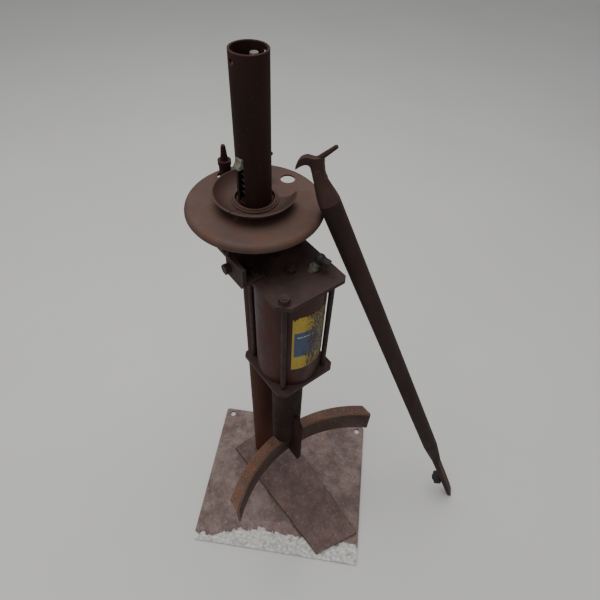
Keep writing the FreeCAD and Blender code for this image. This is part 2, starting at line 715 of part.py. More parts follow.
def hook_outline():
    neck = [(9.2, 1027.3), (7.7, 1036.5), (6.1, 1044.7), (5.5, 1050.3)]
    throat = [(5.5, 1050.3), (7.7, 1054.7), (11.7, 1056.0), (17.3, 1055.7), (22.5, 1054.3), (27.1, 1052.9)]
    crown = [(27.1, 1052.9), (24.5, 1058.1), (20.1, 1062.5), (14.7, 1065.9), (9.2, 1067.1), (3.8, 1066.5),
             (-1.3, 1063.3), (-8.7, 1060.7)]
    shoulder = [(-8.7, 1060.7), (-14.8, 1058.8), (-13.8, 1048.3)]
    back = [(-13.8, 1048.3), (-11.2, 1038.9), (-10.2, 1033.1), (-10.9, 1027.3)]
    base = Part.makeLine(V(-10.9, 0, 1027.3), V(9.2, 0, 1027.3))
    return [smooth(neck), smooth(throat), smooth(crown), smooth(shoulder), smooth(back), base]


def oval(half_x, half_y, x, z):
    return Part.Wire([Part.Ellipse(V(x, 0, z), half_x, half_y).toShape()])


def bar_head():
    plate = Part.Face(Part.Wire(hook_outline())).extrude(V(0, HOOK_T, 0))
    plate = moved(plate, 0, -HOOK_T / 2, 0)
    round_end = Part.Wire([Part.makeCircle(BAR_R, V(0, 0, BAR_LENGTH), Z)])
    neck = Part.makeLoft([round_end, oval(13.8, 12.4, 0.2, 1010), oval(10.6, 7.6, -0.5, 1028),
                          oval(9.0, 5.2, -2.9, 1043)], True)
    spigot = cyl(BAR_R - 3.5, BAR_LENGTH - 24, BAR_LENGTH + 1)
    finger_dir = V(-28.0, 0, 9.6)
    finger = Part.makeCone(4.2, 3.0, finger_dir.Length, V(-10.3, 0, 1058.3), finger_dir)
    tip = Part.makeSphere(3.0, V(-38.3, 0, 1067.9))
    return spigot.fuse(neck).fuse(plate).fuse(finger).fuse(tip)


# ---- decal --------------------------------------------------------------------------------------
def decal():
    sweep = 88.0
    patch = Part.makeCylinder(BARREL_R + 0.3, 140.0, V(0, 0, 625.0), Z, sweep)
    patch = patch.cut(cyl(BARREL_R, 600, 780))
    patch.rotate(V(0, 0, 0), Z, -33.0)
    return moved(patch, CYL_X, 0, 0)


def main():
    os.makedirs("parts", exist_ok=True)
    save("base_plate", base_plate())
    on_machine = {
        "rest_channel": rest_channel(), "channel_welds": channel_welds(), "post_lower": post_lower(),
        "post_foot_weld": weld_ring(POST_R, 6.0, CHANNEL_TOP), "post_upper": post_upper(),
        "post_cross_pin": post_cross_pin(), "post_plug": post_plug(), "post_stud": post_stud(),
        "post_rivet": post_rivet(), "head_plate": head_plate(),
        "head_weld": weld_ring(POST_R, 5.0, HEAD_TOP - END_T, -1.0), "gland_plate": gland_plate(),
        "gland_bush": gland_bush(), "rod_seal": rod_seal(), "barrel": barrel(),
        "barrel_gaskets": barrel_gaskets(), "tie_rods": tie_rods(), "tie_nuts_lower": tie_nuts_lower(),
        "tie_nuts_upper": tie_nuts_upper(), "tie_washers": tie_washers(), "spring_anchor": spring_anchor(),
        "anchor_nut": anchor_nut(), "return_spring": return_spring(), "air_nipple": air_nipple(),
        "air_elbow": air_elbow(), "side_lug": side_lug(), "side_lug_bolts": side_lug_bolts(),
        "side_lug_stud": side_lug_stud(), "table_hub": table_hub(), "table_spacers": table_spacers(),
        "table": table(), "pin_socket": pin_socket(), "locating_pin": locating_pin(),
        "pin_collar": pin_collar(), "dish": dish(), "dish_collar": dish_collar(),
        "dish_sleeve": dish_sleeve(), "latch_key": latch_key(), "latch_carrier": latch_carrier(),
        "latch_spring": latch_spring(), "spring_seat": spring_seat(), "ram_tube": ram_tube(),
        "piston": piston(), "piston_seal": piston_seal(), "piston_plate": piston_plate(),
        "piston_screws": piston_screws(), "ram_foot": ram_foot(), "shoe_webs": shoe_webs(),
        "shoe_flanges": shoe_flanges(), "shoe_gusset": shoe_gusset(), "shoe_welds": shoe_welds(),
        "decal": decal(),
    }
    for name, shape in on_machine.items():
        save(name, machine(shape))
    on_bar = {
        "bar_tube": bar_tube(), "bar_shank": bar_shank(), "bar_head": bar_head(),
        "roller_pin": roller_pin(), "bar_roller": bar_roller(),
    }
    for name, shape in on_bar.items():
        save(name, bar_placed(shape))


main()
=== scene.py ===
"""Looks for the tyre changer stand: weathered steel, a scratched decal, rippled welds and coil springs."""
import math

import bmesh
import bpy
from mathutils import Matrix, Vector, noise


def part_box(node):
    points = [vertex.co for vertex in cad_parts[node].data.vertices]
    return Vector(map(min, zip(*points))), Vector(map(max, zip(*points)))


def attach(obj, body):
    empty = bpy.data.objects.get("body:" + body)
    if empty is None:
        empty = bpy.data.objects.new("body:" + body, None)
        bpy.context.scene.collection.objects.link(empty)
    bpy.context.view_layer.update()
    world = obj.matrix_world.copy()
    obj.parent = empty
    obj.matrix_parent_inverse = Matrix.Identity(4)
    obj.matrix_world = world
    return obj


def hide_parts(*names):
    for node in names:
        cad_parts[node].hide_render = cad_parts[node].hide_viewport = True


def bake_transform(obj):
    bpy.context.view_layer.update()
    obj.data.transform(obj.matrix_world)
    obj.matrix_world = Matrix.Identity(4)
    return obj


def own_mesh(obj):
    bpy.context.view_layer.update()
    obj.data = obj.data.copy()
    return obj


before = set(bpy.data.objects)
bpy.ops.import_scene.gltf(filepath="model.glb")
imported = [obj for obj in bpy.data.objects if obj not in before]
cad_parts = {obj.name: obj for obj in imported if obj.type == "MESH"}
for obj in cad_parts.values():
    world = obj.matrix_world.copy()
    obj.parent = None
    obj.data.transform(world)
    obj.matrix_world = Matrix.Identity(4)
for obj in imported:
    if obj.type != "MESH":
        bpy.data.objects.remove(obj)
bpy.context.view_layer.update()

MM = 0.001

# ---- view ---------------------------------------------------------------------------------------
CAMERA_PLACE = (0.0587, -0.4800, 1.3050)
CAMERA_FORWARD = (-0.06356, 0.66094, -0.74775)
CAMERA_UP = (-0.12702, 0.73781, 0.66295)
CAMERA_LENS = 27.675
SENSOR = 36.0


# ---- places taken from the frame ----------------------------------------------------------------
def middle(node):
    low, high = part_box(node)
    return (low + high) / 2


POST = middle("post_upper")
RAM = middle("barrel")
MACHINE_X = Vector((RAM.x - POST.x, RAM.y - POST.y, 0)).normalized()
MACHINE_Y = Vector((-MACHINE_X.y, MACHINE_X.x, 0))


def on_machine(x, y, z):
    """A point given from the post's axis, towards the ram, to its left and up from the floor."""
    return Vector((POST.x, POST.y, 0)) + MACHINE_X * x + MACHINE_Y * y + Vector((0, 0, z))


# ---- material tools -----------------------------------------------------------------------------
def linear(red, green, blue):
    """A linear colour from 0-255 screen values."""
    def one(value):
        value /= 255
        return value / 12.92 if value <= 0.04045 else ((value + 0.055) / 1.055) ** 2.4
    return one(red), one(green), one(blue), 1.0


class Paint:
    """One material's node tree, built up a call at a time."""

    def __init__(self, name, metallic=0.0, specular=0.3, coordinates="Object"):
        self.material = bpy.data.materials.new(name)
        self.material.use_nodes = True
        self.tree = self.material.node_tree
        self.shader = self.tree.nodes["Principled BSDF"]
        self.shader.inputs["Metallic"].default_value = metallic
        self.shader.inputs["Specular IOR Level"].default_value = specular
        self.place = self.node("ShaderNodeTexCoord").outputs[coordinates]

    def node(self, kind, **settings):
        made = self.tree.nodes.new(kind)
        for key, value in settings.items():
            setattr(made, key, value)
        return made

    def put(self, socket, value):
        if isinstance(value, bpy.types.NodeSocket):
            self.tree.links.new(value, socket)
        else:
            socket.default_value = value

    def moved(self, stretch=(1, 1, 1), shift=(0, 0, 0)):
        mapping = self.node("ShaderNodeMapping")
        self.put(mapping.inputs["Vector"], self.place)
        mapping.inputs["Scale"].default_value = stretch
        mapping.inputs["Location"].default_value = shift
        return mapping.outputs["Vector"]

    def noise(self, size, detail=5.0, rough=0.6, stretch=(1, 1, 1), shift=0.0, twist=0.0):
        """Noise with features of about that size in metres."""
        made = self.node("ShaderNodeTexNoise")
        self.put(made.inputs["Vector"], self.moved(stretch, (shift, shift * 0.7, shift * 1.3)))
        made.inputs["Scale"].default_value = 0.6 / size
        made.inputs["Detail"].default_value = detail
        made.inputs["Roughness"].default_value = rough
        made.inputs["Distortion"].default_value = twist
        return made.outputs["Fac"]

    def axis(self, letter):
        split = self.node("ShaderNodeSeparateXYZ")
        self.put(split.inputs[0], self.place)
        return split.outputs[letter]

    def fade(self, value, start, end, low=0.0, high=1.0):
        """Low where value is start, high where it is end, and clamped outside."""
        made = self.node("ShaderNodeMapRange", clamp=True)
        names = ("Value", "From Min", "From Max", "To Min", "To Max")
        for name, number in zip(names, (value, start, end, low, high)):
            self.put(made.inputs[name], number)
        return made.outputs["Result"]

    def sum(self, operation, first, second=0.0):
        made = self.node("ShaderNodeMath", operation=operation)
        self.put(made.inputs[0], first)
        self.put(made.inputs[1], second)
        return made.outputs[0]

    def mix(self, factor, first, second):
        made = self.node("ShaderNodeMix", data_type="RGBA")
        self.put(made.inputs["Factor"], factor)
        self.put(made.inputs[6], first)
        self.put(made.inputs[7], second)
        return made.outputs[2]

    def edge(self, radius, strength=1.0):
        """1 along the piece's edges and 0 on its faces."""
        bevel = self.node("ShaderNodeBevel", samples=4)
        bevel.inputs["Radius"].default_value = radius
        flat = self.node("ShaderNodeNewGeometry")
        dot = self.node("ShaderNodeVectorMath", operation="DOT_PRODUCT")
        self.put(dot.inputs[0], bevel.outputs["Normal"])
        self.put(dot.inputs[1], flat.outputs["Normal"])
        return self.fade(dot.outputs["Value"], 0.995, 0.86, 0.0, strength)

    def finish(self, colour, roughness, height=None, depth=0.0):
        self.put(self.shader.inputs["Base Color"], colour)
        self.put(self.shader.inputs["Roughness"], roughness)
        if height is not None:
            bump = self.node("ShaderNodeBump")
            bump.inputs["Distance"].default_value = depth
            bump.inputs["Strength"].default_value = 1.0
            self.put(bump.inputs["Height"], height)
            self.put(self.shader.inputs["Normal"], bump.outputs["Normal"])
        return self.material


def rust_layers(paint, look, seed):
    """Colour, roughness and height of old rusted steel, with paler edges that are partly rubbed wear and
    partly a painted highlight.
    """
    stretch = look.get("stretch", (1, 1, 1))
    broad = paint.noise(look.get("patch", 0.05), 4, 0.6, stretch, seed)
    middling = paint.noise(look.get("spot", 0.012), 6, 0.65, stretch, seed + 3.1, 0.4)
    fine = paint.noise(look.get("grain", 0.0025), 4, 0.7, (1, 1, 1), seed + 7.7)
    colour = paint.mix(paint.fade(broad, 0.38, 0.62), look["deep"], look["body"])
    warm = paint.fade(middling, 0.5, 0.72, 0.0, look.get("warmth", 0.6))
    colour = paint.mix(warm, colour, look["warm"])
    speck_from, speck_to = look.get("speck_range", (0.60, 0.74))
    speck = paint.fade(fine, speck_from, speck_to, 0.0, look.get("specks", 0.3))
    colour = paint.mix(speck, colour, look["pale"])
    pit_from, pit_to = look.get("pit_range", (0.42, 0.28))
    pits = paint.fade(fine, pit_from, pit_to, 0.0, look.get("pits", 0.6))
    colour = paint.mix(pits, colour, look["deep"])
    # Paler edges: partly rubbed wear, partly a painted highlight along the edges that catch the light.
    if look.get("edge"):
        wear_and_edge_highlight = paint.sum("MULTIPLY", paint.edge(look["edge"]), paint.fade(middling, 0.35, 0.6, 0.25, 0.9))
        colour = paint.mix(wear_and_edge_highlight, colour, look.get("wear_and_edge_highlight", look["pale"]))
    smoothest, roughest = look.get("rough", (0.6, 0.9))
    rough = paint.fade(middling, 0.3, 0.7, smoothest, roughest)
    height = paint.sum("ADD", paint.sum("MULTIPLY", middling, 0.6), paint.sum("MULTIPLY", fine, 0.4))
    return colour, rough, height


def rust(name, look, seed):
    paint = Paint(name, look.get("metallic", 0.0), look.get("specular", 0.3))
    colour, rough, height = rust_layers(paint, look, seed)
    if look.get("foot"):
        low = paint.fade(paint.axis("Z"), look["foot"][0], look["foot"][1], 1.0, 0.0)
        colour = paint.mix(paint.sum("MULTIPLY", low, 0.75), colour, look["foot"][2])
    return paint.finish(colour, rough, height, look.get("relief", 0.0006))


# ---- looks --------------------------------------------------------------------------------------
# The paler colour given for edges in these looks is partly rubbed wear and partly a painted highlight.
POST_LOOK = dict(deep=linear(35, 20, 18), body=linear(50, 29, 25), warm=linear(69, 37, 30),
                 pale=linear(89, 59, 52), patch=0.07, spot=0.016, grain=0.0028, stretch=(1, 1, 0.3),
                 warmth=0.4, specks=0.35, pits=0.5, rough=(0.65, 0.85), specular=0.18, edge=0.0012,
                 wear_and_edge_highlight=linear(119, 84, 74), relief=0.0004)
LOWER_POST_LOOK = dict(POST_LOOK, body=linear(62, 37, 31), warm=linear(88, 48, 37),
                       foot=(0.02, 0.5, linear(86, 46, 33)))
TABLE_LOOK = dict(deep=linear(64, 48, 42), body=linear(80, 59, 50), warm=linear(99, 60, 42),
                  pale=linear(109, 87, 76), patch=0.05, spot=0.02, grain=0.0016, warmth=0.4, specks=0.2,
                  pits=0.35, rough=(0.55, 0.8), edge=0.0025, wear_and_edge_highlight=linear(106, 82, 71), relief=0.0003)
DISH_LOOK = dict(TABLE_LOOK, deep=linear(54, 37, 32), body=linear(68, 45, 39), warm=linear(91, 51, 35),
                 edge=0.0015, wear_and_edge_highlight=linear(105, 80, 68))
PIN_LOOK = dict(POST_LOOK, body=linear(48, 28, 26), edge=0.0014, wear_and_edge_highlight=linear(96, 65, 59))
BARREL_LOOK = dict(deep=linear(50, 20, 15), body=linear(61, 25, 18), warm=linear(82, 30, 20),
                   pale=linear(98, 50, 36), patch=0.05, spot=0.014, grain=0.002, stretch=(1, 1, 0.35),
                   warmth=0.6, specks=0.12, pits=0.35, rough=(0.45, 0.7), relief=0.0003)
END_LOOK = dict(deep=linear(47, 34, 32), body=linear(61, 45, 42), warm=linear(80, 51, 39),
                pale=linear(98, 78, 73), patch=0.035, spot=0.012, grain=0.002, warmth=0.5, specks=0.2,
                pits=0.5, rough=(0.6, 0.85), edge=0.0016, wear_and_edge_highlight=linear(91, 67, 59), relief=0.0005)
ROD_LOOK = dict(deep=linear(38, 24, 22), body=linear(55, 36, 33), warm=linear(72, 43, 34),
                pale=linear(98, 72, 66), patch=0.03, spot=0.008, grain=0.0015, warmth=0.4, specks=0.25,
                pits=0.5, rough=(0.5, 0.8), edge=0.0008, wear_and_edge_highlight=linear(93, 66, 59), relief=0.0003)
RAM_LOOK = dict(deep=linear(32, 18, 16), body=linear(50, 30, 27), warm=linear(56, 28, 22),
                pale=linear(86, 58, 52), patch=0.03, spot=0.007, grain=0.0013, stretch=(1, 1, 0.5),
                warmth=0.4, specks=0.55, speck_range=(0.57, 0.70), pits=0.8, rough=(0.6, 0.85),
                specular=0.15, relief=0.0003)
SHOE_LOOK = dict(deep=linear(74, 54, 46), body=linear(106, 74, 61), warm=linear(138, 86, 53),
                 pale=linear(167, 129, 100), patch=0.05, spot=0.014, grain=0.0018, warmth=0.5, specks=0.5,
                 speck_range=(0.56, 0.68), pits=0.5, rough=(0.5, 0.8), edge=0.003,
                 wear_and_edge_highlight=linear(142, 101, 74), relief=0.0005)
# A darker, greyer copy of the shoe rust for the upright webs: painted shade on the faces turned from the
# light.
SHADED_SHOE_WEB_LOOK = dict(SHOE_LOOK, deep=linear(53, 39, 36), body=linear(77, 58, 51), warm=linear(95, 63, 46),
                warmth=0.5)
PLATE_LOOK = dict(deep=linear(95, 80, 76), body=linear(126, 109, 104), warm=linear(136, 98, 76),
                  pale=linear(168, 157, 153), patch=0.028, spot=0.011, grain=0.0042, warmth=0.4,
                  specks=0.42, speck_range=(0.57, 0.70), pit_range=(0.46, 0.34), pits=0.9,
                  rough=(0.65, 0.9), edge=0.0016, wear_and_edge_highlight=linear(120, 92, 80), relief=0.0007)
CHANNEL_LOOK = dict(deep=linear(77, 62, 59), body=linear(101, 82, 77), warm=linear(115, 80, 64),
                    pale=linear(145, 130, 124), patch=0.028, spot=0.011, grain=0.0042, warmth=0.4,
                    specks=0.42, speck_range=(0.57, 0.70), pit_range=(0.46, 0.34), pits=0.85,
                    rough=(0.6, 0.85), edge=0.002, wear_and_edge_highlight=linear(119, 93, 79), relief=0.0006)
BAR_LOOK = dict(deep=linear(39, 27, 25), body=linear(56, 40, 37), warm=linear(67, 41, 32),
                pale=linear(93, 72, 67), patch=0.06, spot=0.014, grain=0.0017, stretch=(1, 1, 0.6),
                warmth=0.35, specks=0.2, pits=0.5, rough=(0.6, 0.8), specular=0.2, relief=0.0003)
FORGED_LOOK = dict(BAR_LOOK, body=linear(70, 50, 46), warm=linear(88, 58, 50), edge=0.002,
                   wear_and_edge_highlight=linear(106, 79, 71), spot=0.009)
CAST_LOOK = dict(ROD_LOOK, deep=linear(31, 27, 24), body=linear(47, 43, 37), warm=linear(59, 47, 35),
                 pale=linear(77, 72, 66))
ZINC_LOOK = dict(deep=linear(84, 82, 72), body=linear(122, 124, 112), warm=linear(113, 96, 74),
                 pale=linear(160, 162, 150), patch=0.012, spot=0.004, grain=0.0008, warmth=0.55,
                 specks=0.3, pits=0.5, metallic=0.25, rough=(0.4, 0.65), specular=0.5, edge=0.0008,
                 wear_and_edge_highlight=linear(155, 155, 143), relief=0.0002)
SPRING_LOOK = dict(ZINC_LOOK, deep=linear(57, 52, 46), body=linear(89, 84, 76), warm=linear(84, 63, 48))
BRONZE_LOOK = dict(deep=linear(92, 74, 48), body=linear(126, 100, 62), warm=linear(104, 78, 46),
                   pale=linear(158, 134, 92), patch=0.02, spot=0.006, grain=0.001, warmth=0.4, specks=0.3,
                   pits=0.4, metallic=0.6, rough=(0.35, 0.6), specular=0.5, relief=0.0001)
RUBBER_LOOK = dict(deep=linear(26, 28, 32), body=linear(37, 40, 46), warm=linear(52, 48, 48),
                   pale=linear(77, 75, 75), patch=0.012, spot=0.004, grain=0.0008, warmth=0.4,
                   specks=0.25, pits=0.3, rough=(0.6, 0.85), specular=0.4, edge=0.0012,
                   wear_and_edge_highlight=linear(70, 68, 70), relief=0.0002)
MUD_LOOK = dict(deep=linear(96, 74, 44), body=linear(134, 104, 58), warm=linear(156, 112, 52),
                pale=linear(178, 152, 104), patch=0.01, spot=0.004, grain=0.001, warmth=0.6, specks=0.35,
                pits=0.5, rough=(0.8, 0.95), specular=0.2, relief=0.0008)

LOOKS = {
    "rust_post": (POST_LOOK, ("post_upper", "post_cross_pin", "post_rivet", "spring_seat", "latch_carrier")),
    "rust_post_lower": (LOWER_POST_LOOK, ("post_lower", "head_weld")),
    "rust_table": (TABLE_LOOK, ("table",)),
    "rust_dish": (DISH_LOOK, ("dish", "dish_collar", "dish_sleeve")),
    "rust_pin": (PIN_LOOK, ("locating_pin", "pin_collar", "pin_socket", "table_hub", "table_spacers")),
    "rust_barrel": (BARREL_LOOK, ("barrel",)),
    "rust_end_plates": (END_LOOK, ("head_plate", "gland_plate", "side_lug")),
    "rust_fasteners": (ROD_LOOK, ("tie_rods", "tie_nuts_lower", "tie_nuts_upper", "tie_washers",
                                  "side_lug_bolts", "side_lug_stud", "spring_anchor", "piston_screws",
                                  "roller_pin", "anchor_nut")),
    "ram_steel": (RAM_LOOK, ("ram_tube", "ram_foot", "shoe_gusset")),
    "rust_shoe_tops": (SHOE_LOOK, ("shoe_flanges", "shoe_welds")),
    # The shoe webs take the darker copy of the shoe rust: painted shade.
    "rust_shoe_webs_painted_shade": (SHADED_SHOE_WEB_LOOK, ("shoe_webs",)),
    "rust_channel": (CHANNEL_LOOK, ("rest_channel", "channel_welds", "post_foot_weld")),
    "bar_steel": (BAR_LOOK, ("bar_tube",)),
    "forged_steel": (FORGED_LOOK, ("bar_shank", "bar_head")),
    "cast_iron": (CAST_LOOK, ("air_elbow", "piston", "piston_plate")),
    "dull_zinc": (ZINC_LOOK, ("latch_key", "post_stud", "air_nipple")),
    "spring_wire": (SPRING_LOOK, ("latch_spring", "return_spring")),
    "dull_bronze": (BRONZE_LOOK, ("gland_bush",)),
    "black_rubber": (RUBBER_LOOK, ("bar_roller", "rod_seal", "piston_seal", "barrel_gaskets")),
    "dried_mud": (MUD_LOOK, ("post_plug",)),
}


def plate_material():
    """Rusted plate with flaked pale paint left along its front edge and in scattered flecks."""
    paint = Paint("rust_plate_with_paint")
    colour, rough, height = rust_layers(paint, PLATE_LOOK, 5.0)
    low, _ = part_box("base_plate")
    from_front = paint.sum("SUBTRACT", paint.axis("Y"), low.y)
    along = paint.axis("X")
    limit = paint.fade(along, low.x + 0.01, low.x + 0.14, 0.010, 0.043)
    ragged = paint.noise(0.022, 6, 0.62, (1, 1, 1), 2.0, 0.6)
    wobble = paint.fade(ragged, 0.3, 0.7, -0.013, 0.013)
    limit = paint.sum("ADD", limit, wobble)
    kept = paint.fade(paint.sum("SUBTRACT", limit, from_front), -0.0008, 0.0008)
    chips = paint.noise(0.005, 5, 0.7, (1, 1, 1), 9.0)
    kept = paint.sum("MULTIPLY", kept, paint.fade(chips, 0.30, 0.35))
    flecks = paint.sum("MULTIPLY", paint.fade(paint.noise(0.004, 4, 0.7, (1, 1, 1), 4.0), 0.66, 0.68),
                       paint.fade(paint.noise(0.05, 2, 0.5, (1, 1, 1), 6.0), 0.5, 0.62))
    paint_mask = paint.sum("MAXIMUM", kept, flecks)
    film = paint.mix(paint.fade(chips, 0.4, 0.62), linear(166, 162, 156), linear(214, 212, 208))
    colour = paint.mix(paint_mask, colour, film)
    height = paint.sum("ADD", height, paint.sum("MULTIPLY", paint_mask, 0.35))
    return paint.finish(colour, rough, height, 0.0007)


def decal_material():
    """Old printed film with plain colour bands: no lettering, much of its right side scraped away."""
    paint = Paint("scratched_decal", 0.0, 0.4, "UV")
    across, up = paint.axis("X"), paint.axis("Y")
    yellow = paint.mix(paint.noise(0.05, 4, 0.6, (1, 1, 1), 1.0), linear(190, 164, 44), linear(146, 122, 44))
    blue = paint.mix(paint.noise(0.05, 4, 0.6, (1, 1, 1), 2.0), linear(48, 66, 98), linear(66, 84, 112))
    in_panel = paint.sum("MULTIPLY", paint.fade(up, 0.255, 0.262), paint.fade(up, 0.725, 0.718))
    in_panel = paint.sum("MULTIPLY", in_panel, paint.fade(across, 0.035, 0.042))
    in_panel = paint.sum("MULTIPLY", in_panel, paint.fade(across, 0.62, 0.50))
    colour = paint.mix(in_panel, yellow, blue)
    lines = paint.sum("MULTIPLY", paint.fade(up, 0.622, 0.626), paint.fade(up, 0.642, 0.638))
    lines = paint.sum("MULTIPLY", lines, paint.sum("MULTIPLY", paint.fade(across, 0.09, 0.10), in_panel))
    colour = paint.mix(paint.sum("MULTIPLY", lines, 0.8), colour, linear(196, 198, 190))
    streaks = paint.noise(0.035, 6, 0.7, (1.5, 0.55, 1), 3.0, 1.2)
    crumbs = paint.noise(0.014, 6, 0.75, (1, 0.8, 1), 8.0, 0.6)
    wear_and_edge_highlight = paint.sum("ADD", paint.sum("MULTIPLY", streaks, 0.55), paint.sum("MULTIPLY", crumbs, 0.45))
    limit = paint.fade(across, 0.10, 0.40, 0.62, 0.475)
    gone = paint.fade(paint.sum("SUBTRACT", wear_and_edge_highlight, limit), -0.004, 0.004)
    grey = paint.fade(paint.noise(0.02, 5, 0.7, (1, 0.6, 1), 5.0), 0.56, 0.60)
    under = paint.mix(grey, linear(54, 33, 27), linear(104, 98, 88))
    faded = paint.sum("MULTIPLY", paint.fade(across, 0.3, 0.5), paint.fade(crumbs, 0.5, 0.56))
    colour = paint.mix(faded, colour, linear(172, 148, 52))
    colour = paint.mix(gone, colour, under)
    height = paint.sum("MULTIPLY", gone, -1.0)
    return paint.finish(colour, paint.fade(crumbs, 0.3, 0.7, 0.35, 0.7), height, 0.00025)


def give(node, material):
    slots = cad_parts[node].data.materials
    if not slots:
        slots.append(material)
    for index in range(len(slots)):
        slots[index] = material


def paint_frame():
    made = {}
    for seed, (name, (look, nodes)) in enumerate(LOOKS.items()):
        made[name] = rust(name, look, seed * 1.7)
        for node in nodes:
            give(node, made[name])
    give("base_plate", plate_material())
    give("decal", made["rust_barrel"])
    return made


# ---- mesh tools ---------------------------------------------------------------------------------
def new_mesh(name, verts, faces):
    mesh = bpy.data.meshes.new(name)
    mesh.from_pydata([tuple(v) for v in verts], [], faces)
    return mesh


def smooth_faces(mesh):
    for polygon in mesh.polygons:
        polygon.use_smooth = True


def new_object(name, mesh, material):
    mesh.materials.append(material)
    piece = bpy.data.objects.new(name, mesh)
    bpy.context.scene.collection.objects.link(piece)
    return piece


def tidy_mesh(mesh):
    """Drops unused points and makes the faces point outwards."""
    edit = bmesh.new()
    edit.from_mesh(mesh)
    bmesh.ops.delete(edit, geom=[v for v in edit.verts if not v.link_faces], context="VERTS")
    bmesh.ops.recalc_face_normals(edit, faces=edit.faces)
    edit.to_mesh(mesh)
    edit.free()


def tube_faces(count, sides, closed=False):
    """Faces of a tube whose points come ring by ring; an open tube gets flat ends."""
    faces = []
    for index in range(count if closed else count - 1):
        here, there = index * sides, ((index + 1) % count) * sides
        for step in range(sides):
            turn = (step + 1) % sides
            faces.append((here + step, here + turn, there + turn, there + step))
    if not closed:
        faces.append(tuple(range(sides - 1, -1, -1)))
        faces.append(tuple((count - 1) * sides + step for step in range(sides)))
    return faces


# ---- decal --------------------------------------------------------------------------------------
DECAL_START = math.radians(-33)
DECAL_SWEEP = math.radians(88)
DECAL_COLUMNS = 88
DECAL_ROWS = 90
FILM_OUTSIDE = 0.00028
FILM_INSIDE = 0.00003


def film_left(i, j):
    """True where a cell of the film is still on the barrel."""
    u, v = (i + 0.5) / DECAL_COLUMNS, (j + 0.5) / DECAL_ROWS
    rough = noise.fractal(Vector((u * 9, v * 9, 0.3)), 0.8, 2.0, 4) * 0.07
    right = 0.90 + rough + 0.06 * math.sin(v * 7)
    top = 0.985 + min(0.0, rough)
    return u < right and v < top


def decal_piece(material):
    """A thin film wrapped on the barrel, with ragged top and right edges."""
    low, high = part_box("decal")
    barrel_low, barrel_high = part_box("barrel")
    radius = (barrel_high.x - barrel_low.x) / 2
    verts, faces, uvs = [], [], []
    for shell in (radius + FILM_OUTSIDE, radius + FILM_INSIDE):
        for i in range(DECAL_COLUMNS + 1):
            for j in range(DECAL_ROWS + 1):
                u, v = i / DECAL_COLUMNS, j / DECAL_ROWS
                angle = DECAL_START + DECAL_SWEEP * u
                point = RAM.xy.to_3d() + MACHINE_X * shell * math.cos(angle)
                point = point + MACHINE_Y * shell * math.sin(angle)
                verts.append(point + Vector((0, 0, low.z + (high.z - low.z) * v)))
                uvs.append((u, v))
    keep = {(i, j) for i in range(DECAL_COLUMNS) for j in range(DECAL_ROWS) if film_left(i, j)}
    layer = (DECAL_COLUMNS + 1) * (DECAL_ROWS + 1)

    def corner(i, j, shell=0):
        return shell * layer + i * (DECAL_ROWS + 1) + j

    rims = {(0, -1): ((0, 0), (1, 0)), (1, 0): ((1, 0), (1, 1)), (0, 1): ((1, 1), (0, 1)),
            (-1, 0): ((0, 1), (0, 0))}
    for i, j in sorted(keep):
        around = [(i, j), (i + 1, j), (i + 1, j + 1), (i, j + 1)]
        faces.append(tuple(corner(*point) for point in around))
        faces.append(tuple(corner(*point, 1) for point in reversed(around)))
        for (di, dj), (a, b) in rims.items():
            if (i + di, j + dj) not in keep:
                p, q = (i + a[0], j + a[1]), (i + b[0], j + b[1])
                faces.append((corner(*q), corner(*p), corner(*p, 1), corner(*q, 1)))
    mesh = new_mesh("decal_film", verts, faces)
    film = mesh.uv_layers.new(name="film")
    for loop in mesh.loops:
        film.data[loop.index].uv = uvs[loop.vertex_index]
    tidy_mesh(mesh)
    piece = new_object("decal_film", mesh, material)
    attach(piece, "stand")
    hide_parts("decal")


# ---- welds --------------------------------------------------------------------------------------
# A bead's size is its radius. SHOE_BEAD_TURN and SHOE_BEAD_REACH are degrees round the ram.
BEAD_SIDES = 10
BEAD_INSET = 1.8 * MM
FOOT_BEAD = 3.2 * MM
HEAD_BEAD = 2.8 * MM
SHOE_BEAD = 2.6 * MM
SHOE_BEAD_TURN = 80
SHOE_BEAD_REACH = 19
SHOE_BEAD_RISE = 1.2 * MM
SEAM_BEAD = 2.4 * MM
SEAM_STARTS = (0.010, 0.110, 0.210)
SEAM_STEPS = 31
SEAM_STEP = 0.0015
SEAM_HEIGHT = 7.6 * MM
SEAM_OUT = 1.2 * MM


def weld_bead(path, size, closed=False):
    """A rippled bead laid along a path, as points and faces."""
    verts = []
    count = len(path)
    for index, point in enumerate(path):
        before = path[(index - 1) % count] if closed else path[max(index - 1, 0)]
        after = path[(index + 1) % count] if closed else path[min(index + 1, count - 1)]
        along = (after - before).normalized()
        side = along.cross(Vector((0, 0, 1))).normalized()
        lift = side.cross(along)
        ripple = 1.0 + 0.10 * math.sin(index * 2.1) + 0.05 * math.sin(index * 0.83)
        taper = 1.0 if closed else min(1.0, 0.45 + 0.3 * min(index, count - 1 - index))
        for step in range(BEAD_SIDES):
            angle = 2 * math.pi * step / BEAD_SIDES
            verts.append(point + (side * math.cos(angle) + lift * math.sin(angle)) * size * ripple * taper)
    return verts, tube_faces(count, BEAD_SIDES, closed)


def weld_piece(name, paths, size, closed, material, body, node):
    verts, faces = [], []
    for path in paths:
        more_verts, more_faces = weld_bead(path, size, closed)
        faces += [tuple(corner + len(verts) for corner in face) for face in more_faces]
        verts += more_verts
    mesh = new_mesh(name, verts, faces)
    mesh.validate()
    smooth_faces(mesh)
    piece = new_object(name, mesh, material)
    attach(piece, body)
    tidy_mesh(piece.data)
    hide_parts(node)


